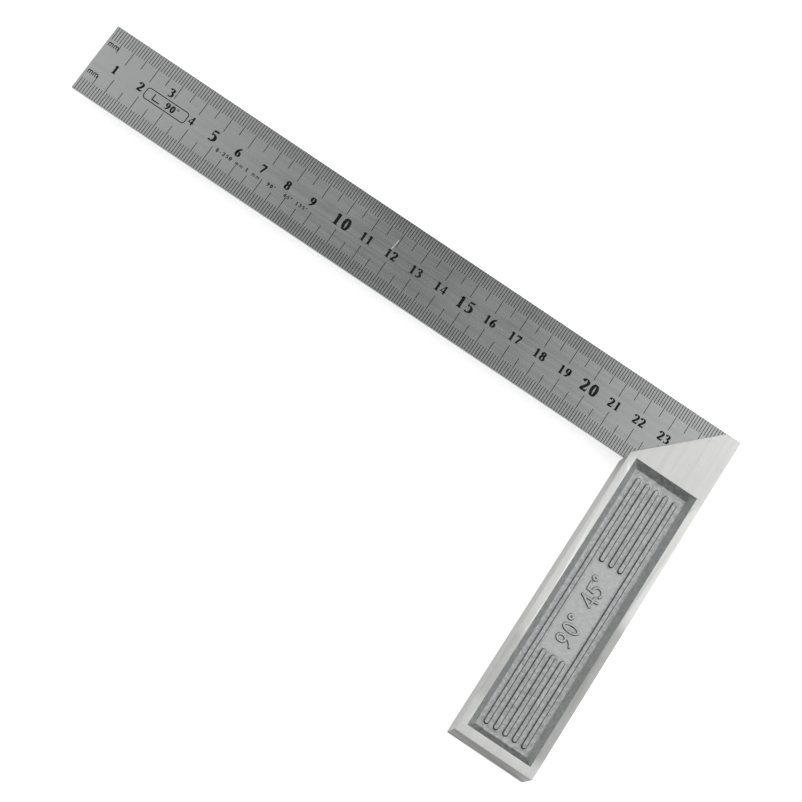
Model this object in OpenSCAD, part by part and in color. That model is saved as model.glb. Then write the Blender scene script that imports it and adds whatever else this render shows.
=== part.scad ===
// Try square: a stainless steel rule blade held at a right angle in the slotted head
// of an aluminium stock, and locked there by blind dowel pins pressed in from the back.
//
// The blade lies along X with its zero end at -X. The stock runs towards -Y.
// Z = 0 is the back of the stock, which the square lies on, and +Z is the scale side.

/* [Blade] */
// Length of the blade, from its zero end to the outer side of the stock
blade_length = 252; // [200:1:320]
// Width of the blade
blade_width = 27; // [25:0.5:29]
// Thickness of the blade
blade_thickness = 1; // [0.8:0.1:1.5]

/* [Stock] */
// Width of the stock
stock_width = 29.5; // [29:0.5:34]
// Thickness of the stock
stock_thickness = 16; // [12:0.5:18]
// Height of the whole square, from the blade's outer edge to the far end of the stock
square_height = 135; // [125:1:160]
// How far the blade's outer edge stands proud of the stock's head
head_setback = 2.5; // [0.5:0.1:3]
// How far the inner end of the mitre laps over the blade's inner edge
mitre_lap = 0.6; // [0.5:0.1:2]
// Clearance on each face of the blade in its slot
slot_clearance = 0.05; // [0.02:0.01:0.1]

/* [Recess] */
// Width of the flat rim along both sides of the recess
side_rim = 2.6; // [2:0.1:3.5]
// Width of the flat rim at the far end of the stock
end_rim = 3.2; // [2.5:0.1:5]
// Depth of the recess in each face
recess_depth = 3; // [1.5:0.1:4]
// How far each sloping wall of the recess runs inwards
wall_run = 2.4; // [1.5:0.1:3]

/* [Ribs] */
// Distance between the middles of neighbouring ribs
rib_pitch = 3.6; // [3:0.1:4]
// Width of each rib, which is also the diameter of its round ends
rib_width = 1.8; // [1.2:0.1:2]
// Height of each rib above the floor of the recess
rib_height = 0.8; // [0.4:0.1:1.2]
// Length of the plain field that parts each of the three middle ribs in two
plain_field = 34.4; // [20:0.1:50]

/* [Pins] */
// Diameter of the dowel pins
pin_d = 4; // [3:0.5:5]
// Radial clearance between a pin and its hole
pin_clearance = 0.01; // [0.01:0.01:0.03]
// How deep the pins reach into the front cheek
pin_grip = 3.4; // [2:0.1:4]

/* [Hidden] */
$fn = 64;
cut = 1; // how far a cutting solid runs past the face that it opens

// Sides of the whole square, with the origin under the middle of its outline
left = -blade_length / 2;
right = blade_length / 2;
top = square_height / 2;
bottom = -square_height / 2;

// The blade lies in the middle of the stock's thickness
blade_z = (stock_thickness - blade_thickness) / 2;
slot_h = blade_thickness + 2 * slot_clearance;
blade_inner = top - blade_width;

// The stock and the 45 degree mitre of its head
stock_left = right - stock_width;
stock_mid = right - stock_width / 2;
head = top - head_setback;
mitre_low = blade_inner + mitre_lap;
mitre_x = stock_left + head - mitre_low;

// The recess starts level with the blade's inner edge
recess_left = stock_left + side_rim;
recess_right = right - side_rim;
recess_top = blade_inner;
recess_bottom = bottom + end_rim;

// The ribs stand clear of the feet of the recess walls
rib_gap_above = 2.2;
rib_gap_below = 1.6;
rib_top = recess_top - wall_run - rib_gap_above;
rib_bottom = recess_bottom + wall_run + rib_gap_below;
field_mid = (rib_top + rib_bottom) / 2;
field_top = field_mid + plain_field / 2;
field_bottom = field_mid - plain_field / 2;
rib_columns = [-2, -1, 0, 1, 2];

// The pins stand in a right-angled triangle inside the mitred head
pin_edge = 5.5; // from the corner pin's middle to the outer side and to the blade's inner edge
pin_spacing = 12; // from the corner pin to each of the others
corner_pin_at = [right - pin_edge, blade_inner + pin_edge];
outer_pin_at = corner_pin_at + [0, pin_spacing];
inner_pin_at = corner_pin_at - [pin_spacing, 0];
pin_places = [outer_pin_at, corner_pin_at, inner_pin_at];
pin_length = blade_z + slot_h + pin_grip;
pin_tip = 0.5; // chamfer at the end that leads into the hole
hole_spare = 0.4; // room left between the pin and the bottom of its hole

module blade() {
    color("lightsteelblue")
    translate([0, 0, blade_z])
    linear_extrude(blade_thickness)
    difference() {
        translate([left, blade_inner]) square([blade_length, blade_width]);
        for (p = pin_places) translate(p) circle(d = pin_d + 4 * pin_clearance);
    }
}

module stock() {
    color("silver")
    difference() {
        union() {
            difference() {
                linear_extrude(stock_thickness) stock_outline();
                recess();
                flip_to_back() recess();
            }
            ribs();
            flip_to_back() ribs();
        }
        blade_slot();
        for (p = pin_places) translate(p) pin_hole();
    }
}

module stock_outline() {
    polygon([
        [stock_left, bottom], [right, bottom], [right, head],
        [mitre_x, head], [stock_left, mitre_low]
    ]);
}

// Turns what is drawn on the front face over to the back face
module flip_to_back() {
    translate([0, 0, stock_thickness]) mirror([0, 0, 1]) children();
}

// Sunk panel with four sloping walls: the part that two trough shapes have in common
module recess() {
    intersection() {
        translate([0, recess_top, 0]) rotate([90, 0, 0])
            linear_extrude(recess_top - recess_bottom) trough(recess_left, recess_right);
        translate([recess_left, 0, 0]) rotate([90, 0, 90])
            linear_extrude(recess_right - recess_left) trough(recess_bottom, recess_top);
    }
}

// Section of the recess between two sides, open upwards
module trough(a, b) {
    floor_z = stock_thickness - recess_depth;
    spread = wall_run * cut / recess_depth;
    polygon([
        [a + wall_run, floor_z], [b - wall_run, floor_z],
        [b + spread, stock_thickness + cut], [a - spread, stock_thickness + cut]
    ]);
}

// Five raised ribs: the outer two run the whole way, the others leave a plain field
module ribs() {
    for (k = rib_columns) {
        x = stock_mid + k * rib_pitch;
        if (abs(k) == 2) {
            rib(x, rib_bottom, rib_top);
        } else {
            rib(x, rib_bottom, field_bottom);
            rib(x, field_top, rib_top);
        }
    }
}

// One straight rib with round ends, rooted in the floor of the recess
module rib(x, low, high) {
    root = 0.5;
    r = rib_width / 2;
    translate([x, 0, stock_thickness - recess_depth - root])
    linear_extrude(root + rib_height) {
        translate([-r, low + r]) square([rib_width, high - low - rib_width]);
        translate([0, low + r]) circle(r);
        translate([0, high - r]) circle(r);
    }
}

// Slot for the blade, open to the inner side, the mitre, the head and the outer side
module blade_slot() {
    translate([stock_left - cut, blade_inner, blade_z - slot_clearance])
        cube([stock_width + 2 * cut, blade_width + cut, slot_h]);
}

// Blind hole from the back, through the slot and on into the front cheek
module pin_hole() {
    translate([0, 0, -cut]) cylinder(d = pin_d, h = cut + pin_length + hole_spare);
}

// Dowel pin, flush with the back of the stock
module pin(p) {
    r = pin_d / 2 - pin_clearance;
    color("dimgray")
    translate(p) {
        cylinder(r = r, h = pin_length - pin_tip);
        translate([0, 0, pin_length - pin_tip]) cylinder(r1 = r, r2 = r - pin_tip, h = pin_tip);
    }
}

module outer_pin() pin(outer_pin_at);
module corner_pin() pin(corner_pin_at);
module inner_pin() pin(inner_pin_at);

blade();
stock();
outer_pin();
corner_pin();
inner_pin();
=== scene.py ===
"""Try square lying scale side up: a marked steel blade in a ribbed aluminium stock.

Every mesh is built in millimetres in the CAD frame and scaled to metres at the end.
The blade lies along X with its zero end at -X, and the stock runs towards -Y.
"""
import math

import bmesh
import bpy
import numpy as np
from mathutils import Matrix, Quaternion, Vector


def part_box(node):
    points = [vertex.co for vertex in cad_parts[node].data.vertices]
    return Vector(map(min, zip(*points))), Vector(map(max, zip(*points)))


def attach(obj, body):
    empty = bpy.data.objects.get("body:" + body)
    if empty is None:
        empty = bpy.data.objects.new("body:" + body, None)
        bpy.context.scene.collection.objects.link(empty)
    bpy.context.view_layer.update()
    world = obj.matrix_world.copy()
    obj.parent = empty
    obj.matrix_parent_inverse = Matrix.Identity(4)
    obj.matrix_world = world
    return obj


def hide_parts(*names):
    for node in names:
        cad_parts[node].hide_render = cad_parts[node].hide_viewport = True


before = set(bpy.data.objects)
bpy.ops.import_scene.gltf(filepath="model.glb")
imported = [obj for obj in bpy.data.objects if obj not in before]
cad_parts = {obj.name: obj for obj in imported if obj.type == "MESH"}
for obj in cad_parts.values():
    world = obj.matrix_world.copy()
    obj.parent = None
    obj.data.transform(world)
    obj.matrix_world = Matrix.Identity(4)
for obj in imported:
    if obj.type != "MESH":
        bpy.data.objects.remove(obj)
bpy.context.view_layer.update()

MM = 0.001


def node_box(name):
    """Lowest and highest corner of a CAD node, in millimetres."""
    return [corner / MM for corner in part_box(name)]


blade_lo, blade_hi = node_box("blade")
stock_lo, stock_hi = node_box("stock")
thickness = stock_hi.z

# ---------------------------------------------------------------- sizes in mm

# Stock
MITRE_LAP = 0.6  # how far the mitre's low end laps over the blade's inner edge
SLOT_CLEARANCE = 0.05
SIDE_RIM = 2.6
END_RIM = 3.2
RECESS_DEPTH = 3.0
WALL_RUN = 2.6
RIM_ROUNDING = 0.16  # run over which the rim turns down into the wall
FOOT_ROUNDING = 0.5  # run over which the wall turns out into the floor
EDGE_ROUNDING = 0.22
CORNER_ROUNDING = 0.35

# Ribs
RIB_PITCH = 3.6
RIB_RADIUS = 0.9
RIB_CREST = 0.60  # half the width of a rib's flat top
RIB_FOOT = 1.02
RIB_HEIGHT = 0.8
RIB_CLEAR_ABOVE = 4.6  # from the rim of the recess to the ends of the ribs
RIB_CLEAR_BELOW = 4.0
PLAIN_FIELD = 34.4

# Raised figures in the plain field
FIGURE_HEIGHT = 6.0
FIGURE_PEN = 0.28
FIGURE_SKIRT = 0.26
FIGURE_RISE = 0.5

# Blade
BLADE_ROUNDING = 0.08
BLADE_CORNER = 0.15
SCALE_LIFT = 0.02  # thickness of the ink
LINE_WIDTH = 0.215
LINE_MARGIN = 0.05  # bare steel between a line and the edge of the blade
LINE_UNDER = 0.6  # how far a line goes on under the stock
MM_LINE = 4.9
HALF_LINE = 8.2
CM_LINE = 10.2
OUTER_LONGER = 0.25  # the outer scale's lines are a little longer than the inner's
NUMERAL_ROW = 13.5  # from the blade's outer edge to the middle of the numerals
NUMERAL_HEIGHT = 3.3
LARGE_NUMERAL_HEIGHT = 4.4
SINGLE_SHIFT = -1.7  # single figures stand short of their line
PAIR_SHIFT = 0.15
ODD_SHIFTS = {2: -1.4, 4: -0.7}  # the frame between them crowds these two
THREE_ROW = 9.2  # the 3 is lifted clear of the frame below it

# Pins
PIN_CHAMFER = 0.5
PIN_EDGE = 0.12
PIN_CLEARANCE = 0.01
HOLE_SPARE = 0.4  # room left between a pin and the bottom of its hole

# ------------------------------------------------------------------ camera

CAMERA_AT = Vector((0.03398, -0.16226, 0.66217))
CAMERA_AIM = Vector((0.02433, 0.01383, 0.008))
CAMERA_ROLL = 30.87  # degrees, anticlockwise
LENS = 92.0
SENSOR = 36.0


def make_camera():
    data = bpy.data.cameras.new("camera")
    data.lens = LENS
    data.sensor_width = SENSOR
    data.clip_start = 0.01
    data.clip_end = 20
    camera = bpy.data.objects.new("camera", data)
    bpy.context.scene.collection.objects.link(camera)
    aim = (CAMERA_AIM - CAMERA_AT).to_track_quat("-Z", "Y")
    roll = Quaternion((0, 0, 1), math.radians(CAMERA_ROLL))
    camera.location = CAMERA_AT
    camera.rotation_mode = "QUATERNION"
    camera.rotation_quaternion = aim @ roll
    bpy.context.scene.camera = camera


# ------------------------------------------------------------------- light

FLOOR_GLOW = 0.08  # what the floor adds to the light on the tool
FLOOR_GLOW_SEEN = 0.62
CEILING = 0.80  # brightness overhead
SURROUNDINGS = 0.05  # brightness near the horizon
SIDE_SURROUNDINGS = 0.30  # the same, towards +X and -X
CEILING_STARTS = 0.50  # height of the ceiling's edge, as the sine of its elevation
CEILING_EDGE = 0.30
GAP_X = (-0.145, 0.076)  # the darker gap overhead, as parts of a unit direction
GAP_Y = (0.10, 0.55)
GAP_EDGE = 0.02
GAP_DEPTH = 0.585
PANEL_X = (0.085, 0.40)  # a brighter panel beside the gap
PANEL_Y = (0.20, 0.75)
PANEL_EDGE = 0.05
PANEL_GAIN = 0.24
BACKDROP = 1.0  # brightness of the surroundings as the camera sees them
KEY_FROM = (0.7, 0.6, 0.75)
KEY_DISTANCE = 1.6
KEY_SIZE = 0.9
KEY_POWER = 6.5

# ------------------------------------------------------------- mesh helpers


def finish_mesh(bm, name, material, replaced=None, sharp=35):
    """Turns a bmesh in millimetres into a piece that rides on the body."""
    bmesh.ops.scale(bm, vec=(MM, MM, MM), verts=bm.verts)
    bmesh.ops.recalc_face_normals(bm, faces=bm.faces)
    for face in bm.faces:
        face.smooth = True
    for edge in bm.edges:
        edge.smooth = edge.calc_face_angle(0) < math.radians(sharp)
    mesh = bpy.data.meshes.new(name)
    bm.to_mesh(mesh)
    bm.free()
    mesh.materials.append(material)
    piece = bpy.data.objects.new(name, mesh)
    bpy.context.scene.collection.objects.link(piece)
    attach(piece, "root")
    if replaced:
        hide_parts(replaced)
    return piece


def weight_normals(piece):
    """Keeps the flats flat and lets only the rounded edges turn."""
    modifier = piece.modifiers.new("weighted normals", "WEIGHTED_NORMAL")
    modifier.keep_sharp = True
    modifier.weight = 100


def inset(points, distance):
    """Moves every side of an anticlockwise outline inwards by a distance."""
    moved = []
    for i, here in enumerate(points):
        along_in = (here - points[i - 1]).normalized()
        along_out = (points[(i + 1) % len(points)] - here).normalized()
        inward_in = Vector((-along_in.y, along_in.x))
        inward_out = Vector((-along_out.y, along_out.x))
        bisector = (inward_in + inward_out) / (1 + inward_in.dot(inward_out))
        moved.append(here + distance * bisector)
    return moved


def round_corners(points, radius, steps=4):
    """Swaps each true corner of an outline for an arc; straight joints stay."""
    out = []
    for i, corner in enumerate(points):
        back = (points[i - 1] - corner).normalized()
        ahead = (points[(i + 1) % len(points)] - corner).normalized()
        half = back.angle(ahead) / 2
        if half > math.radians(89):
            out.append(corner)
            continue
        reach = radius / math.tan(half)
        centre = corner + (back + ahead).normalized() * radius / math.sin(half)
        start = corner + back * reach - centre
        end = corner + ahead * reach - centre
        for k in range(steps + 1):
            spoke = start.lerp(end, k / steps)
            out.append(centre + spoke.normalized() * radius)
    return out


def ring(bm, points, z):
    return [bm.verts.new((p.x, p.y, z)) for p in points]


def join_rings(bm, low, high, skip=()):
    """Walls in the space between two rings of equal length."""
    count = len(low)
    for i in range(count):
        if i not in skip:
            j = (i + 1) % count
            bm.faces.new((low[i], low[j], high[j], high[i]))


def fill(bm, loops, normal):
    """Closes a flat outline, leaving holes where the other loops are."""
    edges = []
    for loop in loops:
        for i, a in enumerate(loop):
            b = loop[(i + 1) % len(loop)]
            edges.append(bm.edges.get((a, b)) or bm.edges.new((a, b)))
    bmesh.ops.triangle_fill(bm, edges=edges, use_beauty=True, normal=normal)


def circle(centre, radius, sides=48):
    turn = 2 * math.pi / sides
    spokes = [Vector((math.cos(k * turn), math.sin(k * turn))) for k in range(sides)]
    return [centre + radius * spoke for spoke in spokes]


def rounded_rings(rounding, low, high, steps=3):
    """(height, inset) pairs up the side of a plate whose two rims are rounded."""
    turns = [math.pi / 2 * k / steps for k in range(steps + 1)]
    rims = [(rounding * (1 - math.sin(a)), rounding * (1 - math.cos(a))) for a in turns]
    foot = [(low + up, into) for up, into in reversed(rims)]
    crown = [(high - up, into) for up, into in rims]
    return foot, crown


# ------------------------------------------------------ figures drawn by a nib


def arc(cx, cy, rx, ry, start, end, count=28):
    """Points along an ellipse, in degrees from +X."""
    angles = np.radians(np.linspace(start, end, count))
    return np.c_[cx + rx * np.cos(angles), cy + ry * np.sin(angles)]


def curve_through(points, steps=8):
    """Smooth Catmull-Rom curve through given points."""
    p = np.array([points[0], *points, points[-1]], float)
    out = []
    for i in range(1, len(p) - 2):
        for t in np.linspace(0, 1, steps, endpoint=False):
            a = 2 * p[i]
            b = p[i + 1] - p[i - 1]
            c = 2 * p[i - 1] - 5 * p[i] + 4 * p[i + 1] - p[i + 2]
            d = 3 * p[i] - p[i - 1] - 3 * p[i + 1] + p[i + 2]
            out.append((a + b * t + c * t**2 + d * t**3) / 2)
    out.append(p[-2])
    return np.array(out)


def line(*points):
    return np.array(points, float)


# Each figure is a list of (centre line, fixed width or None for the nib's own width),
# on a cell one unit high. The nib is broad upright and fine across.
SIX = [
    (arc(0.28, 0.30, 0.165, 0.25, 0, 360), None),
    (curve_through([(0.47, 0.95), (0.33, 0.87), (0.19, 0.69), (0.12, 0.48), (0.115, 0.30)]), None),
]
FIGURES = {
    "0": [(arc(0.28, 0.50, 0.175, 0.455, 0, 360, 40), None)],
    "1": [
        (line((0.29, 0.05), (0.29, 0.98)), None),
        (line((0.10, 0.035), (0.48, 0.035)), 0.07),
        (curve_through([(0.29, 0.94), (0.20, 0.87), (0.09, 0.83)]), 0.08),
    ],
    "2": [
        (curve_through([(0.06, 0.72), (0.12, 0.88), (0.25, 0.945), (0.39, 0.86), (0.42, 0.70),
                        (0.35, 0.50), (0.21, 0.28), (0.09, 0.13)]), None),
        (line((0.03, 0.085), (0.50, 0.085)), 0.17),
        (line((0.485, 0.08), (0.53, 0.28)), 0.06),
    ],
    "3": [
        (curve_through([(0.06, 0.79), (0.13, 0.91), (0.25, 0.95), (0.37, 0.87), (0.39, 0.73),
                        (0.31, 0.59), (0.19, 0.53)]), None),
        (curve_through([(0.19, 0.53), (0.34, 0.49), (0.43, 0.38), (0.43, 0.23), (0.34, 0.10),
                        (0.20, 0.045), (0.07, 0.11)]), None),
    ],
    "4": [
        (line((0.38, 0.02), (0.38, 0.98)), 0.18),
        (line((0.38, 0.95), (0.05, 0.33)), 0.08),
        (line((0.02, 0.29), (0.56, 0.29)), 0.12),
    ],
    "5": [
        (line((0.14, 0.89), (0.50, 0.91)), 0.16),
        (line((0.15, 0.90), (0.10, 0.54)), 0.06),
        (curve_through([(0.10, 0.54), (0.24, 0.60), (0.38, 0.52), (0.44, 0.36), (0.41, 0.20),
                        (0.30, 0.08), (0.17, 0.045), (0.06, 0.11)]), None),
    ],
    "6": SIX,
    "7": [
        (line((0.05, 0.88), (0.51, 0.88)), 0.19),
        (curve_through([(0.48, 0.86), (0.36, 0.52), (0.28, 0.25), (0.24, 0.02)]), 0.20),
        (line((0.07, 0.90), (0.04, 0.69)), 0.06),
    ],
    "8": [
        (arc(0.28, 0.73, 0.14, 0.215, 0, 360), None),
        (arc(0.28, 0.275, 0.17, 0.235, 0, 360), None),
    ],
    "9": [((0.56, 1.0) - path, width) for path, width in SIX],
    "-": [(line((0.06, 0.42), (0.44, 0.42)), 0.12)],
    "°": [(arc(0.16, 0.84, 0.10, 0.12, 0, 360), 0.08)],
    "m": [
        (line((0.08, 0.0), (0.08, 0.62)), 0.13),
        (curve_through([(0.08, 0.44), (0.22, 0.60), (0.35, 0.52), (0.37, 0.36), (0.37, 0.0)]), 0.13),
        (curve_through([(0.37, 0.44), (0.51, 0.60), (0.64, 0.52), (0.66, 0.36), (0.66, 0.0)]), 0.13),
    ],
}
FIGURE_WIDTH = {"°": 0.36, "m": 0.80}
STANDARD_WIDTH = 0.56
NIB_BROAD = 0.26
NIB_FINE = 0.085
FIGURE_STRETCH = 1.13  # the figures stand a little wider than they are drawn


def figure_width(letter):
    return FIGURE_WIDTH.get(letter, STANDARD_WIDTH) * FIGURE_STRETCH


def lettering(text, centre, height, gap=0.12, turned=False):
    """Centre lines of a row of figures, as (points in mm, widths in mm)."""
    total = sum(figure_width(c) for c in text) + gap * (len(text) - 1)
    pen = -total / 2
    strokes = []
    for letter in text:
        for path, width in FIGURES.get(letter, []):
            step = np.gradient(path, axis=0)
            steep = np.abs(step[:, 1]) / np.maximum(np.hypot(step[:, 0], step[:, 1]), 1e-9)
            nib = NIB_FINE + (NIB_BROAD - NIB_FINE) * steep**1.5
            widths = nib if width is None else np.full(len(path), width)
            spot = np.c_[path[:, 0] * FIGURE_STRETCH + pen, path[:, 1] - 0.5] * height
            if turned:
                spot = np.c_[-spot[:, 1], spot[:, 0]]
            strokes.append((spot + np.array(centre), widths * height))
        pen += figure_width(letter) + gap
    return strokes


# --------------------------------------------------------------- the stock


def plan_corners():
    """Anticlockwise outline of the stock, with a point where the slot starts on each side."""
    head = stock_hi.y
    mitre_low = blade_lo.y + MITRE_LAP
    mitre_x = stock_lo.x + head - mitre_low
    plan = [
        (stock_lo.x, stock_lo.y), (stock_hi.x, stock_lo.y), (stock_hi.x, blade_lo.y),
        (stock_hi.x, head), (mitre_x, head), (stock_lo.x, mitre_low), (stock_lo.x, blade_lo.y),
    ]
    return round_corners([Vector(p) for p in plan], CORNER_ROUNDING)


recess_lo = Vector((stock_lo.x + SIDE_RIM, stock_lo.y + END_RIM))
recess_hi = Vector((stock_hi.x - SIDE_RIM, blade_lo.y))
stock_mid = (stock_lo.x + stock_hi.x) / 2
rib_top = recess_hi.y - RIB_CLEAR_ABOVE
rib_bottom = recess_lo.y + RIB_CLEAR_BELOW
field_mid = (rib_top + rib_bottom) / 2
field_top = field_mid + PLAIN_FIELD / 2
field_bottom = field_mid - PLAIN_FIELD / 2


def rib_spans():
    """(x, low end, high end) of each rib's centre line."""
    spans = []
    for k in range(-2, 3):
        x = stock_mid + k * RIB_PITCH
        if abs(k) == 2:
            parts = [(rib_bottom, rib_top)]
        else:
            parts = [(rib_bottom, field_bottom), (field_top, rib_top)]
        spans += [(x, low + RIB_RADIUS, high - RIB_RADIUS) for low, high in parts]
    return spans


def wall_drop(inside):
    """Depth below the rim at a distance inside the recess's edge: a slope with eased ends."""
    slope = RECESS_DEPTH / (WALL_RUN - (RIM_ROUNDING + FOOT_ROUNDING) / 2)
    turn_in = np.clip(inside, 0, RIM_ROUNDING)
    plain = np.clip(inside - RIM_ROUNDING, 0, WALL_RUN - RIM_ROUNDING - FOOT_ROUNDING)
    turn_out = np.clip(inside - (WALL_RUN - FOOT_ROUNDING), 0, FOOT_ROUNDING)
    eased = turn_in**2 / (2 * RIM_ROUNDING) + turn_out - turn_out**2 / (2 * FOOT_ROUNDING)
    return slope * (eased + plain)


def ease(t):
    return 0.5 - 0.5 * np.cos(np.pi * np.clip(t, 0, 1))


def distance_to_path(x, y, path):
    """Shortest distance from every grid point to a polyline."""
    best = np.full(x.shape, np.inf)
    for a, b in zip(path[:-1], path[1:]):
        side = b - a
        t = np.clip(((x - a[0]) * side[0] + (y - a[1]) * side[1]) / max(side @ side, 1e-12), 0, 1)
        best = np.minimum(best, np.hypot(x - a[0] - t * side[0], y - a[1] - t * side[1]))
    return best


def face_height(x, y, figures):
    """Height of the stock's face over its recess, ribs and raised figures."""
    inside = np.minimum(
        np.minimum(x - recess_lo.x, recess_hi.x - x), np.minimum(y - recess_lo.y, recess_hi.y - y)
    )
    rise = np.zeros(x.shape)
    for rib_x, low, high in rib_spans():
        reach = np.hypot(x - rib_x, y - np.clip(y, low, high))
        rise = np.maximum(rise, RIB_HEIGHT * ease((RIB_FOOT - reach) / (RIB_FOOT - RIB_CREST)))
    for path, _ in figures:
        reach = distance_to_path(x, y, path)
        top = FIGURE_PEN + FIGURE_SKIRT - reach
        rise = np.maximum(rise, FIGURE_RISE * ease(top / FIGURE_SKIRT))
    return thickness - wall_drop(inside) + rise


def grid_lines(low, high, marks, coarse):
    """Grid positions from low to high: close together at the marks, coarse between."""
    wall = [0, 0.05, 0.1, RIM_ROUNDING, 0.6, 1.2, WALL_RUN - FOOT_ROUNDING]
    wall += [WALL_RUN - FOOT_ROUNDING * (1 - t) for t in (0.25, 0.5, 0.75, 1)]
    lines = [low + w for w in wall] + [high - w for w in wall]
    for start, end, step in marks:
        lines += list(np.linspace(start, end, round((end - start) / step) + 1))
    lines = sorted(set(round(v, 4) for v in lines))
    out = [lines[0]]
    for v in lines[1:]:
        if v - out[-1] < 0.03 and v != lines[-1]:
            continue
        pieces = max(1, math.ceil((v - out[-1]) / coarse))
        start = out[-1]
        out += [start + (v - start) * k / pieces for k in range(1, pieces + 1)]
    return np.array(out)


def recess_surface(bm, figures, front):
    """Adds one face's recess and returns its edge loop, anticlockwise from the low corner."""
    across = [(x - RIB_FOOT, x + RIB_FOOT, 0.11) for x in sorted({s[0] for s in rib_spans()})]
    ends = sorted({v for s in rib_spans() for v in s[1:]})
    along = [(v - RIB_FOOT, v + RIB_FOOT, 0.11) for v in ends]
    if figures:
        spots = np.concatenate([path for path, _ in figures])
        margin = FIGURE_PEN + FIGURE_SKIRT
        low, high = spots.min(0) - margin, spots.max(0) + margin
        across.append((low[0], high[0], 0.15))
        along.append((low[1], high[1], 0.15))
    xs = grid_lines(recess_lo.x, recess_hi.x, across, 0.7)
    ys = grid_lines(recess_lo.y, recess_hi.y, along, 2.0)
    gx, gy = np.meshgrid(xs, ys)
    z = face_height(gx, gy, figures)
    cx, cy = np.meshgrid((xs[1:] + xs[:-1]) / 2, (ys[1:] + ys[:-1]) / 2)
    middle = face_height(cx, cy, figures)
    rising = abs((z[:-1, :-1] + z[1:, 1:]) / 2 - middle)
    falling = abs((z[:-1, 1:] + z[1:, :-1]) / 2 - middle)
    if not front:
        z = thickness - z
    v = [[bm.verts.new((x, y, z[j, i])) for i, x in enumerate(xs)] for j, y in enumerate(ys)]
    for j in range(len(ys) - 1):
        for i in range(len(xs) - 1):
            a, b, c, d = v[j][i], v[j][i + 1], v[j + 1][i + 1], v[j + 1][i]
            if abs(rising[j, i] - falling[j, i]) < 1e-6:
                faces = [(a, b, c, d)]
            elif rising[j, i] < falling[j, i]:
                faces = [(a, b, c), (a, c, d)]
            else:
                faces = [(a, b, d), (b, c, d)]
            for face in faces:
                bm.faces.new(face)
    bottom, right = v[0], [row[-1] for row in v]
    top, left = v[-1][::-1], [row[0] for row in v][::-1]
    return bottom[:-1] + right[:-1] + top[:-1] + left[:-1]


# Stretches of the rims with painted light and shade, lighter near the head and darker lower down
# where the reflection dims: (tone, low corner, high corner)
RIM_LIGHT_AND_SHADE = (
    (0.82, (stock_mid, -7.0), (stock_hi.x + 5, 38.0)),
    (0.82, (stock_lo.x - 5, -22.0), (stock_mid, 38.0)),
    (0.47, (stock_mid, -61.5), (stock_hi.x + 5, -10.5)),
    (0.56, (stock_lo.x - 5, -54.0), (stock_mid, -30.0)),
)
STRETCH_EDGE = 3.0
# painted light: the long sides get a lighter tone than the milled flats
SIDE_PAINTED_LIGHT_TONE = 0.83
# painted shade on the steep flanks of the ribs and figures on the recess floor; the second value is
# the heavier painted shade at the rib ends
FLANK_SHADE = 0.42
RIB_END_SHADE = 0.95  # at the ends of the ribs that face down the stock
# painted highlight on the recess's side walls
SIDE_WALL_SHINE = 0.38
FIELD_HALF = 5.6  # half the width of the smoother plain field
SMOOTH_FIELD = (stock_mid - FIELD_HALF, field_bottom, stock_mid + FIELD_HALF, field_top)
FIELD_EDGE = 0.8
FLOOR_EDGE = 0.12
RECESS_EDGE = 0.08


def pin_middles():
    boxes = [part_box(name) for name in PIN_NODES]
    return [((lo + hi) / 2 / MM).to_2d() for lo, hi in boxes]


def make_stock(material):
    bm = bmesh.new()
    outline = plan_corners()
    foot, crown = rounded_rings(EDGE_ROUNDING, 0, thickness)
    slot_low, slot_high = blade_lo.z - SLOT_CLEARANCE, blade_hi.z + SLOT_CLEARANCE
    levels = foot + [(slot_low, 0), (slot_high, 0)] + crown
    rings = [ring(bm, inset(outline, into) if into else outline, z) for z, into in levels]
    in_slot = [i for i, p in enumerate(outline) if p.y > blade_lo.y - 1e-6]
    open_sides = {i for i in in_slot if (i + 1) % len(outline) in in_slot}
    for k in range(len(rings) - 1):
        slot_here = k == len(foot)
        join_rings(bm, rings[k], rings[k + 1], open_sides if slot_here else ())

    floor_ring = [rings[len(foot)][i] for i in in_slot]
    roof_ring = [rings[len(foot) + 1][i] for i in in_slot]
    bm.faces.new((floor_ring[0], floor_ring[-1], roof_ring[-1], roof_ring[0]))

    bores = {"back": [], "floor": [], "roof": []}
    for middle in pin_middles():
        pin_radius = pin_size.x / 2 + PIN_CLEARANCE
        plan = circle(middle, pin_radius)
        back, floor = ring(bm, plan, 0), ring(bm, plan, slot_low)
        roof, end = ring(bm, plan, slot_high), ring(bm, plan, pin_size.z + HOLE_SPARE)
        join_rings(bm, back, floor)
        join_rings(bm, roof, end)
        bm.faces.new(end)
        for name, loop in zip(bores, (back, floor, roof)):
            bores[name].append(loop)

    fill(bm, [floor_ring, *bores["floor"]], (0, 0, 1))
    fill(bm, [roof_ring, *bores["roof"]], (0, 0, -1))
    front_edge = recess_surface(bm, field_figures(), front=True)
    back_edge = recess_surface(bm, [], front=False)
    fill(bm, [rings[-1], front_edge], (0, 0, 1))
    fill(bm, [rings[0], back_edge, *bores["back"]], (0, 0, -1))
    piece = finish_mesh(bm, "stock_casting", material, "stock")
    weight_normals(piece)


def field_figures():
    """The two angles that the tool sets out, raised in the plain field, read up the stock."""
    centre = (stock_mid, field_mid)
    return lettering("90° 45°", centre, FIGURE_HEIGHT, gap=0.06, turned=True)


# --------------------------------------------------------------- the blade


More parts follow.
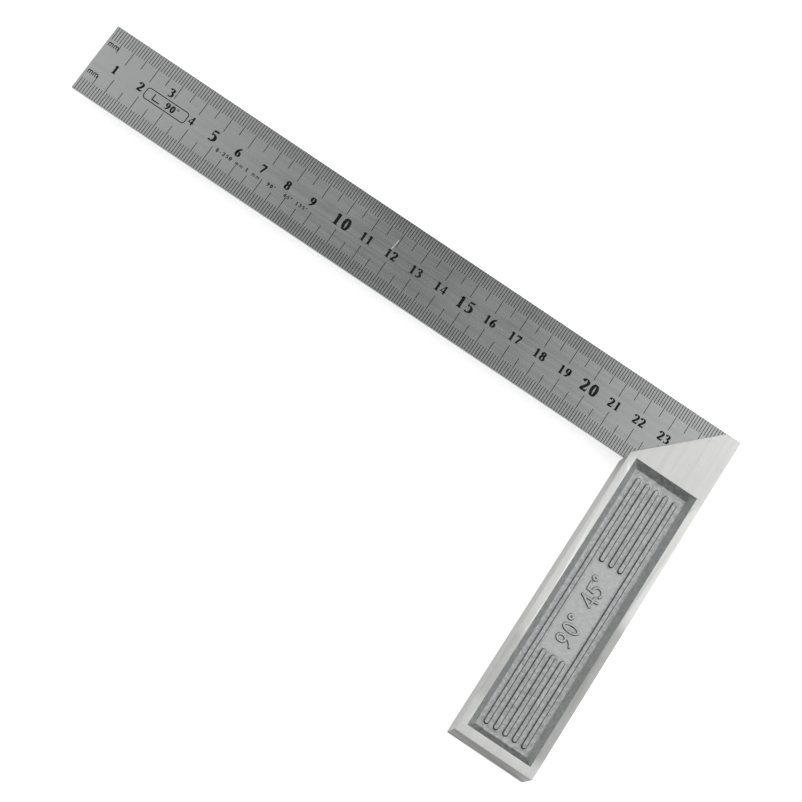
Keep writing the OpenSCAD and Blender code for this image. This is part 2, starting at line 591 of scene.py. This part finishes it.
def make_blade(material):
    bm = bmesh.new()
    corners = [
        (blade_lo.x, blade_lo.y), (blade_hi.x, blade_lo.y),
        (blade_hi.x, blade_hi.y), (blade_lo.x, blade_hi.y),
    ]
    outline = round_corners([Vector(p) for p in corners], BLADE_CORNER)
    foot, crown = rounded_rings(BLADE_ROUNDING, blade_lo.z, blade_hi.z)
    rings = [ring(bm, inset(outline, into) if into else outline, z) for z, into in foot + crown]
    for low, high in zip(rings, rings[1:]):
        join_rings(bm, low, high)
    holes = [circle(p, pin_size.x / 2 + 3 * PIN_CLEARANCE) for p in pin_middles()]
    low_holes = [ring(bm, hole, blade_lo.z) for hole in holes]
    high_holes = [ring(bm, hole, blade_hi.z) for hole in holes]
    for low, high in zip(low_holes, high_holes):
        join_rings(bm, low, high)
    fill(bm, [rings[0], *low_holes], (0, 0, -1))
    fill(bm, [rings[-1], *high_holes], (0, 0, 1))
    piece = finish_mesh(bm, "rule_blade", material, "blade")
    weight_normals(piece)


PIN_NODES = ["outer_pin", "corner_pin", "inner_pin"]
pin_lo, pin_hi = node_box("corner_pin")
pin_size = pin_hi - pin_lo


def make_pin(name, material):
    """Turned dowel: a slightly eased flat at the back and a lead-in chamfer at the tip."""
    bm = bmesh.new()
    lo, hi = node_box(name)
    centre = ((lo + hi) / 2).to_2d()
    radius = (hi.x - lo.x) / 2
    profile = [(radius - PIN_EDGE, lo.z), (radius - PIN_EDGE * 0.3, lo.z + PIN_EDGE * 0.3)]
    profile += [(radius, lo.z + PIN_EDGE), (radius, hi.z - PIN_CHAMFER), (radius - PIN_CHAMFER, hi.z)]
    rings = [ring(bm, circle(centre, r), z) for r, z in profile]
    for low, high in zip(rings, rings[1:]):
        join_rings(bm, low, high)
    bm.faces.new(rings[0])
    bm.faces.new(rings[-1])
    piece = finish_mesh(bm, "dowel_" + name, material, name)
    weight_normals(piece)


# ------------------------------------------------------------------ the ink


def ink_slab(bm, outline):
    """A flat patch of ink with its own thickness, lying on the blade."""
    low = ring(bm, outline, blade_hi.z)
    high = ring(bm, outline, blade_hi.z + SCALE_LIFT)
    join_rings(bm, low, high)
    bm.faces.new(high)
    bm.faces.new(low[::-1])


def ink_box(bm, x0, x1, y0, y1):
    ink_slab(bm, [Vector(p) for p in ((x0, y0), (x1, y0), (x1, y1), (x0, y1))])


def ink_stroke(bm, path, widths, closed=False):
    """A stroke of varying width along a centre line."""
    step = np.gradient(path, axis=0)
    if closed:
        step[0] = step[-1] = path[1] - path[-2]
    step /= np.hypot(step[:, 0], step[:, 1])[:, None]
    side = np.c_[-step[:, 1], step[:, 0]] * widths[:, None] / 2
    left, right = path + side, path - side
    z_low, z_high = blade_hi.z, blade_hi.z + SCALE_LIFT
    last = len(path) - 1 if closed else len(path)
    rows = []
    for l, r in zip(left[:last], right[:last]):
        corners = ((*r, z_low), (*l, z_low), (*l, z_high), (*r, z_high))
        rows.append([bm.verts.new(c) for c in corners])
    pairs = list(zip(rows, rows[1:]))
    if closed:
        pairs.append((rows[-1], rows[0]))
    for a, b in pairs:
        for k in range(4):
            m = (k + 1) % 4
            bm.faces.new((a[k], a[m], b[m], b[k]))
    if not closed:
        bm.faces.new(rows[0][::-1])
        bm.faces.new(rows[-1])


def is_closed(path):
    return np.allclose(path[0], path[-1])


def write(bm, text, centre, height, gap=0.12, finest=0.0):
    for path, widths in lettering(text, centre, height, gap):
        ink_stroke(bm, path, np.maximum(widths, finest), is_closed(path))


def line_length(millimetre):
    if millimetre % 10 == 0:
        return CM_LINE
    if millimetre % 5 == 0:
        return HALF_LINE
    return MM_LINE


def make_scale(material):
    """Millimetre lines along both edges, stopping just under the edge of the stock."""
    bm = bmesh.new()
    mitre_shift = stock_lo.x - blade_lo.y - MITRE_LAP
    for millimetre in range(1, round(blade_hi.x - blade_lo.x)):
        x = blade_lo.x + millimetre
        length = line_length(millimetre)
        hidden_below = x - mitre_shift - LINE_UNDER if x > stock_lo.x else blade_lo.y
        outer_low = max(blade_hi.y - length - OUTER_LONGER, hidden_below)
        if outer_low < blade_hi.y - 1:
            ink_box(bm, x - LINE_WIDTH / 2, x + LINE_WIDTH / 2, outer_low, blade_hi.y - LINE_MARGIN)
        inner_high = blade_lo.y + length
        inner_low = max(blade_lo.y + LINE_MARGIN, hidden_below)
        if inner_high - inner_low > 0.3:
            ink_box(bm, x - LINE_WIDTH / 2, x + LINE_WIDTH / 2, inner_low, inner_high)
    finish_mesh(bm, "scale_lines", material)


def make_numerals(material):
    bm = bmesh.new()
    row = blade_hi.y - NUMERAL_ROW
    for number in range(1, 24):
        x = blade_lo.x + 10 * number
        height = LARGE_NUMERAL_HEIGHT if number % 5 == 0 else NUMERAL_HEIGHT
        shift = PAIR_SHIFT if number > 9 else ODD_SHIFTS.get(number, SINGLE_SHIFT)
        y = blade_hi.y - THREE_ROW if number == 3 else row
        gap = 0.16 if number % 5 == 0 else 0.10
        write(bm, str(number), (x + shift, y), height, gap)
    for v in (7.0, 19.0):
        write(bm, "mm", (blade_lo.x + 3.0, blade_hi.y - v + 0.45), 2.3, gap=0.02)
    finish_mesh(bm, "scale_numerals", material)


def make_panel(material):
    """A plain round-cornered frame with a right angle in it, and a row of generic legends."""
    bm = bmesh.new()
    x0, x1 = blade_lo.x + 20.9, blade_lo.x + 37.4
    y1, y0 = blade_hi.y - 11.9, blade_hi.y - 16.1
    corners = [Vector(p) for p in ((x0, y0), (x1, y0), (x1, y1), (x0, y1))]
    outline = np.array([tuple(p) for p in round_corners(corners, 1.0, 6)])
    outline = np.vstack([outline, outline[:1]])
    ink_stroke(bm, outline, np.full(len(outline), 0.32), closed=True)
    middle, y = (x0 + x1) / 2, (y0 + y1) / 2
    write(bm, "90°", (middle + 2.4, y), 2.6, gap=0.14)
    foot = 0.42
    bar_x, bar_y = middle - 5.2, y - 1.25
    arm_x, arm_y = bar_x + 3.0, bar_y + 2.5
    ink_slab(bm, [Vector(p) for p in (
        (bar_x, bar_y), (arm_x, bar_y), (arm_x, bar_y + foot),
        (bar_x + foot, bar_y + foot), (bar_x + foot, arm_y), (bar_x, arm_y))])
    small = 1.4
    legend = blade_hi.y - 17.0
    for text, u in (("0-250 mm", 57.0), ("1 mm", 66.3), ("90°", 73.8), ("45° 135°", 83.6)):
        write(bm, text, (blade_lo.x + u, legend), small, gap=0.3, finest=0.2)
    finish_mesh(bm, "maker_panel", material)


# --------------------------------------------------------------- materials


def add(tree, kind, inputs=None, **settings):
    """Adds a shader node, sets its properties, and sets or links its inputs."""
    made = tree.nodes.new(kind)
    for key, value in settings.items():
        setattr(made, key, value)
    for key, value in (inputs or {}).items():
        if isinstance(value, bpy.types.NodeSocket):
            tree.links.new(value, made.inputs[key])
        else:
            made.inputs[key].default_value = value
    return made


def new_material(name):
    material = bpy.data.materials.new(name)
    material.use_nodes = True
    tree = material.node_tree
    tree.nodes.clear()
    return material, tree


def surface(tree, color, roughness, normal=None, metallic=1.0, specular=0.5):
    shader = add(tree, "ShaderNodeBsdfPrincipled", {
        "Base Color": color, "Roughness": roughness, "Metallic": metallic,
        "Specular IOR Level": specular,
    })
    if normal:
        tree.links.new(normal, shader.inputs["Normal"])
    add(tree, "ShaderNodeOutputMaterial", {"Surface": shader.outputs[0]})


def object_position(tree, scale=(1, 1, 1), turn=0):
    """Place on the piece in metres, stretched for grain."""
    place = add(tree, "ShaderNodeTexCoord").outputs["Object"]
    mapping = add(tree, "ShaderNodeMapping", {
        "Vector": place, "Scale": scale, "Rotation": (0, 0, turn)})
    return mapping.outputs[0]


def noise(tree, position, scale, detail=4, rough=0.6):
    return add(tree, "ShaderNodeTexNoise", {
        "Vector": position, "Scale": scale, "Detail": detail, "Roughness": rough}).outputs["Fac"]


def spread(tree, value, low, high, out_low, out_high):
    """Maps one range of values on to another."""
    return add(tree, "ShaderNodeMapRange", {
        "Value": value, "From Min": low, "From Max": high,
        "To Min": out_low, "To Max": out_high}).outputs[0]


def maths(tree, operation, a, b):
    return add(tree, "ShaderNodeMath", {0: a, 1: b}, operation=operation).outputs[0]


def window(tree, value, low, high, edge):
    """1 between two limits and 0 outside them, with soft edges."""
    rise = add(tree, "ShaderNodeMapRange", {
        "Value": value, "From Min": low - edge, "From Max": low + edge,
        "To Min": 0.0, "To Max": 1.0}, interpolation_type="SMOOTHSTEP").outputs[0]
    fall = add(tree, "ShaderNodeMapRange", {
        "Value": value, "From Min": high - edge, "From Max": high + edge,
        "To Min": 1.0, "To Max": 0.0}, interpolation_type="SMOOTHSTEP").outputs[0]
    return maths(tree, "MULTIPLY", rise, fall)


def blend_colors(tree, factor, a, b):
    made = add(tree, "ShaderNodeMix", {"Factor": factor}, data_type="RGBA")
    for index, value in ((6, a), (7, b)):
        if isinstance(value, bpy.types.NodeSocket):
            tree.links.new(value, made.inputs[index])
        else:
            made.inputs[index].default_value = value
    return made.outputs[2]


def grey(value, warmth=0.0):
    return (value * (1 + warmth), value, value * (1 - warmth), 1)


def bump(tree, height, distance, strength=1.0, after=None):
    inputs = {"Height": height, "Distance": distance, "Strength": strength}
    if after:
        inputs["Normal"] = after
    return add(tree, "ShaderNodeBump", inputs).outputs[0]


def blade_material():
    """Satin stainless: fine grain along the blade and faint smears."""
    material, tree = new_material("satin_blade_steel")
    fine = noise(tree, object_position(tree, (60, 5200, 900)), 1, 3)
    broad = noise(tree, object_position(tree, (9, 700, 300)), 1, 4)
    smear = noise(tree, object_position(tree), 38, 3)
    grain = mean_of(tree, fine, broad)
    tone = blend_colors(tree, spread(tree, grain, 0.3, 0.7, 0, 1), steel(0.47), steel(0.56))
    color = blend_colors(tree, spread(tree, smear, 0.35, 0.7, 0, 0.35), tone, steel(0.49))
    roughness = maths(tree, "ADD", spread(tree, grain, 0.3, 0.7, 0.19, 0.26),
                      spread(tree, smear, 0.3, 0.7, -0.02, 0.03))
    color, roughness = scratched(tree, color, roughness)
    surface(tree, color, roughness, bump(tree, grain, 0.000003))
    return material


# A scratch across the blade, rougher and painted bright as a glint: middle, half length, half width
# and lean
SCRATCH_AT = (119.2, 10.2)
SCRATCH_REACH = 2.2
SCRATCH_WIDTH = 0.13
SCRATCH_LEAN = 6.0


def scratched(tree, color, roughness):
    """Lays one scratch over the blade's finish: a real scratch, rougher, with a painted glint that
    makes it bright.
    """
    place = add(tree, "ShaderNodeTexCoord").outputs["Object"]
    middle = ((blade_lo.x + SCRATCH_AT[0]) * MM, (blade_hi.y - SCRATCH_AT[1]) * MM, 0)
    moved = add(tree, "ShaderNodeVectorMath", {0: place, 1: middle}, operation="SUBTRACT").outputs[0]
    turned = add(tree, "ShaderNodeVectorRotate", {
        "Vector": moved, "Angle": math.radians(SCRATCH_LEAN)}, rotation_type="Z_AXIS").outputs[0]
    x, y, z = add(tree, "ShaderNodeSeparateXYZ", {0: turned}).outputs
    scale_side = maths(tree, "GREATER_THAN", z, (blade_lo.z + blade_hi.z) / 2 * MM)
    across = window(tree, x, -SCRATCH_WIDTH * MM, SCRATCH_WIDTH * MM, 0.08 * MM)
    along = window(tree, y, -SCRATCH_REACH * MM, SCRATCH_REACH * MM, 0.8 * MM)
    broken = spread(tree, noise(tree, object_position(tree), 900, 2), 0.35, 0.6, 0.3, 1)
    scratch_glint = maths(tree, "MULTIPLY", maths(tree, "MULTIPLY", across, along), broken)
    scratch_glint = maths(tree, "MULTIPLY", scratch_glint, scale_side)
    rough = add(tree, "ShaderNodeMix", {0: scratch_glint, 2: roughness, 3: 0.5}, data_type="FLOAT").outputs[0]
    # the scratch is painted bright steel, a painted glint
    return blend_colors(tree, scratch_glint, color, steel(0.9)), rough


def steel(value):
    """Stainless steel, slightly cool and green."""
    return (value * 0.965, value, value * 0.985, 1)


def aluminium_material():
    """Milled flats with a fine lay along the stock, a grainy as-cast recess, a sawn end painted
    darker as shade, long sides painted lighter, and painted light and shade on the rims, rib flanks
    and side walls.
    """
    material, tree = new_material("milled_and_cast_aluminium")
    lay = noise(tree, object_position(tree, (4200, 70, 4200)), 1, 4)
    band = noise(tree, object_position(tree, (800, 12, 800)), 1, 3)
    patch = noise(tree, object_position(tree), 60, 4)
    milled = mean_of(tree, lay, band)
    milled_color = blend_colors(tree, spread(tree, milled, 0.3, 0.7, 0, 1), tint(0.69), tint(0.77))
    patchy = spread(tree, patch, 0.45, 0.7, 0, 0.6)
    milled_color = blend_colors(tree, patchy, milled_color, tint(0.69))
    flecks = noise(tree, object_position(tree), 650, 2)
    flecked = spread(tree, flecks, 0.64, 0.72, 0, 0.3)
    milled_color = blend_colors(tree, flecked, milled_color, tint(0.5))
    # painted light and shade on the rims: lighter stretches near the head, darker ones lower down,
    # broken up by the patch noise
    for tone, low, high in RIM_LIGHT_AND_SHADE:
        rim_light_shade = maths(tree, "MULTIPLY", area_mask(tree, low, high, STRETCH_EDGE),
                     spread(tree, patch, 0.35, 0.6, 1.0, 0.75))
        milled_color = blend_colors(tree, rim_light_shade, milled_color, tint(tone))

    side, end = facing(tree)
    ripple = mean_of(tree, noise(tree, object_position(tree, (25, 25, 480)), 1, 2),
                     noise(tree, object_position(tree, (40, 40, 2600)), 1, 3))
    # the far end: sawn ripples, with the whole face painted darker as painted shade
    sawn_and_shaded_end = blend_colors(tree, spread(tree, ripple, 0.42, 0.58, 0, 1), tint(0.20), tint(0.62))
    # the long sides are painted lighter, as painted light
    color = blend_colors(tree, side, milled_color, tint(SIDE_PAINTED_LIGHT_TONE))
    color = blend_colors(tree, end, color, sawn_and_shaded_end)

    grains = noise(tree, object_position(tree), 2000, 5, 0.7)
    lumps = noise(tree, object_position(tree), 700, 3)
    cast = mean_of(tree, grains, lumps)
    smooth = area_mask(tree, SMOOTH_FIELD[:2], SMOOTH_FIELD[2:], FIELD_EDGE)
    dark = blend_colors(tree, smooth, cool(0.30), cool(0.45))
    light = blend_colors(tree, smooth, cool(0.615), cool(0.595))
    cast_color = blend_colors(tree, spread(tree, cast, 0.37, 0.63, 0, 1), dark, light)
    sloping, steep, downward = slopes(tree)
    low = (recess_lo.x + WALL_RUN, recess_lo.y + WALL_RUN)
    high = (recess_hi.x - WALL_RUN, recess_hi.y - WALL_RUN)
    on_floor = area_mask(tree, low, high, FLOOR_EDGE)
    flank = maths(tree, "MULTIPLY", steep, on_floor)
    # painted shade on steep flanks, heaviest where they face down the stock
    shade_amount = spread(tree, downward, 0, 1, FLANK_SHADE, RIB_END_SHADE)
    painted_flank_shade = maths(tree, "MULTIPLY", flank, shade_amount)
    cast_color = blend_colors(tree, painted_flank_shade, cast_color, cool(0.10))
    # painted highlight: the walls that slope towards the long sides are painted lighter
    side_wall = maths(tree, "MULTIPLY", sloping, maths(tree, "SUBTRACT", 1.0, on_floor))
    cast_color = blend_colors(tree, maths(tree, "MULTIPLY", side_wall, SIDE_WALL_SHINE),
                              cast_color, cool(0.9))

    inside = recess_mask(tree)
    color = blend_colors(tree, inside, color, cast_color)
    roughness = add(tree, "ShaderNodeMix", {
        0: inside,
        2: spread(tree, milled, 0.3, 0.7, 0.30, 0.42),
        3: spread(tree, cast, 0.3, 0.7, 0.46, 0.62)}, data_type="FLOAT").outputs[0]
    cast_height = maths(tree, "MULTIPLY", cast, inside)
    milled_height = maths(tree, "MULTIPLY", milled, maths(tree, "SUBTRACT", 1.0, inside))
    sawn_height = maths(tree, "MULTIPLY", ripple, end)
    normal = bump(tree, milled_height, 0.000006)
    normal = bump(tree, sawn_height, 0.00008, after=normal)
    normal = bump(tree, cast_height, 0.00012, after=normal)
    surface(tree, color, roughness, normal)
    return material


def mean_of(tree, a, b):
    return maths(tree, "MULTIPLY", maths(tree, "ADD", a, b), 0.5)


def tint(value):
    """Machined aluminium, very slightly green."""
    return (value * 0.995, value, value * 0.985, 1)


def cool(value):
    """Cast aluminium, slightly cool."""
    return (value * 0.97, value, value * 0.995, 1)


def area_mask(tree, low, high, edge):
    """1 over a rectangle of the plan given in millimetres, 0 elsewhere, with soft edges."""
    place = add(tree, "ShaderNodeTexCoord").outputs["Object"]
    x, y, _ = add(tree, "ShaderNodeSeparateXYZ", {0: place}).outputs
    return maths(tree, "MULTIPLY",
                 window(tree, x, low[0] * MM, high[0] * MM, edge * MM),
                 window(tree, y, low[1] * MM, high[1] * MM, edge * MM))


def facing(tree):
    """1 on the stock's long sides, and 1 on its far end."""
    normal = add(tree, "ShaderNodeTexCoord").outputs["Normal"]
    x, y, _ = add(tree, "ShaderNodeSeparateXYZ", {0: normal}).outputs
    side = spread(tree, maths(tree, "ABSOLUTE", x, 0.0), 0.6, 0.8, 0, 1)
    return side, spread(tree, y, -0.6, -0.8, 0, 1)


def slopes(tree):
    """1 where the surface slopes towards a long side, where it is steep, and where it faces -Y."""
    normal = add(tree, "ShaderNodeTexCoord").outputs["Normal"]
    x, y, z = add(tree, "ShaderNodeSeparateXYZ", {0: normal}).outputs
    sloping = spread(tree, maths(tree, "ABSOLUTE", x, 0.0), 0.35, 0.6, 0, 1)
    steep = spread(tree, maths(tree, "ABSOLUTE", z, 0.0), 0.85, 0.5, 0, 1)
    return sloping, steep, spread(tree, y, -0.15, -0.5, 0, 1)


def recess_mask(tree):
    """1 inside the recess, below the rims of both faces, and 0 on the machined outside."""
    place = add(tree, "ShaderNodeTexCoord").outputs["Object"]
    axes = add(tree, "ShaderNodeSeparateXYZ", {0: place}).outputs
    edge = RECESS_EDGE * MM
    limits = (
        (axes[0], recess_lo.x * MM, recess_hi.x * MM),
        (axes[1], recess_lo.y * MM, recess_hi.y * MM),
        (axes[2], 0, thickness * MM),
    )
    mask = None
    for axis, low, high in limits:
        for signed in (spread(tree, axis, low, low + edge, 0, 1),
                       spread(tree, axis, high - edge, high, 1, 0)):
            mask = signed if mask is None else maths(tree, "MULTIPLY", mask, signed)
    return mask


def pin_material():
    """Ground dowel steel."""
    material, tree = new_material("ground_pin_steel")
    lay = noise(tree, object_position(tree, (500, 7000, 500), 0.6), 1, 3)
    stain = noise(tree, object_position(tree), 900, 3)
    tone = blend_colors(tree, spread(tree, lay, 0.3, 0.7, 0, 1), grey(0.36), grey(0.46))
    color = blend_colors(tree, spread(tree, stain, 0.45, 0.75, 0, 0.6), tone, grey(0.30, 0.03))
    surface(tree, color, spread(tree, lay, 0.3, 0.7, 0.26, 0.40), bump(tree, lay, 0.000004))
    return material


def ink_material():
    """Black filled etching, slightly worn and dusty."""
    material, tree = new_material("black_scale_ink")
    wear = noise(tree, object_position(tree), 1800, 4)
    dust = noise(tree, object_position(tree), 160, 3)
    tone = blend_colors(tree, spread(tree, wear, 0.35, 0.75, 0, 1), grey(0.004), grey(0.014))
    color = blend_colors(tree, spread(tree, dust, 0.5, 0.8, 0, 0.5), tone, grey(0.024))
    surface(tree, color, spread(tree, wear, 0.3, 0.7, 0.45, 0.65), metallic=0.0, specular=0.15)
    return material


def floor_material():
    """White paper that the camera sees a little brighter than it lights the tool."""
    material, tree = new_material("pale_floor")
    seen = add(tree, "ShaderNodeLightPath").outputs["Is Camera Ray"]
    shader = add(tree, "ShaderNodeBsdfPrincipled", {
        "Base Color": grey(0.9), "Roughness": 0.85, "Specular IOR Level": 0.1,
        "Emission Color": grey(1.0),
        "Emission Strength": spread(tree, seen, 0, 1, FLOOR_GLOW, FLOOR_GLOW_SEEN)})
    add(tree, "ShaderNodeOutputMaterial", {"Surface": shader.outputs[0]})
    return material


# ------------------------------------------------------------ floor and light


def make_floor():
    bm = bmesh.new()
    size = 6.0
    low = -0.00005
    corners = [(-size, -size), (size, -size), (size, size), (-size, size)]
    bm.faces.new([bm.verts.new((x, y, low)) for x, y in corners])
    mesh = bpy.data.meshes.new("floor")
    bm.to_mesh(mesh)
    bm.free()
    mesh.materials.append(floor_material())
    floor = bpy.data.objects.new("floor", mesh)
    bpy.context.scene.collection.objects.link(floor)


def soft_light(name, direction, distance, size, power):
    """A square soft box that faces the middle of the tool."""
    data = bpy.data.lights.new(name, "AREA")
    data.shape = "SQUARE"
    data.size = size
    data.energy = power
    light = bpy.data.objects.new(name, data)
    place = Vector(direction).normalized() * distance
    light.location = place
    light.rotation_euler = (-place).to_track_quat("-Z", "Y").to_euler()
    light.visible_camera = False
    bpy.context.scene.collection.objects.link(light)


def make_world():
    """Studio with a soft bright ceiling, a darker gap in it, and dim surroundings."""
    world = bpy.data.worlds.new("studio")
    world.use_nodes = True
    tree = world.node_tree
    tree.nodes.clear()
    place = add(tree, "ShaderNodeTexCoord").outputs["Generated"]
    x, y, up = add(tree, "ShaderNodeSeparateXYZ", {0: place}).outputs
    overhead = window(tree, up, CEILING_STARTS, 2.0, CEILING_EDGE)
    gap_x = window(tree, x, GAP_X[0], GAP_X[1], GAP_EDGE)
    gap_y = window(tree, y, GAP_Y[0], GAP_Y[1], GAP_EDGE)
    gap = maths(tree, "MULTIPLY", maths(tree, "MULTIPLY", gap_x, gap_y), GAP_DEPTH)
    panel_x = window(tree, x, PANEL_X[0], PANEL_X[1], PANEL_EDGE)
    panel_y = window(tree, y, PANEL_Y[0], PANEL_Y[1], PANEL_EDGE)
    panel = maths(tree, "MULTIPLY", maths(tree, "MULTIPLY", panel_x, panel_y), PANEL_GAIN)
    plain = maths(tree, "SUBTRACT", CEILING, gap)
    ceiling = maths(tree, "MULTIPLY", overhead, maths(tree, "ADD", plain, panel))
    sideways = spread(tree, maths(tree, "ABSOLUTE", x, 0.0), 0.3, 0.8,
                      SURROUNDINGS, SIDE_SURROUNDINGS)
    low = maths(tree, "MULTIPLY", sideways, maths(tree, "SUBTRACT", 1.0, overhead))
    light = maths(tree, "ADD", ceiling, low)
    seen = add(tree, "ShaderNodeLightPath").outputs["Is Camera Ray"]
    strength = add(tree, "ShaderNodeMix", {0: seen, 2: light, 3: BACKDROP}, data_type="FLOAT")
    back = add(tree, "ShaderNodeBackground", {
        "Color": (1, 1, 1, 1), "Strength": strength.outputs[0]})
    add(tree, "ShaderNodeOutputWorld", {"Surface": back.outputs[0]})
    bpy.context.scene.world = world


def main():
    make_camera()
    make_stock(aluminium_material())
    make_blade(blade_material())
    pins = pin_material()
    for name in PIN_NODES:
        make_pin(name, pins)
    ink = ink_material()
    make_scale(ink)
    make_numerals(ink)
    make_panel(ink)
    make_floor()
    make_world()
    soft_light("key", KEY_FROM, KEY_DISTANCE, KEY_SIZE, KEY_POWER)
    bpy.context.scene.view_settings.view_transform = "Standard"


main()
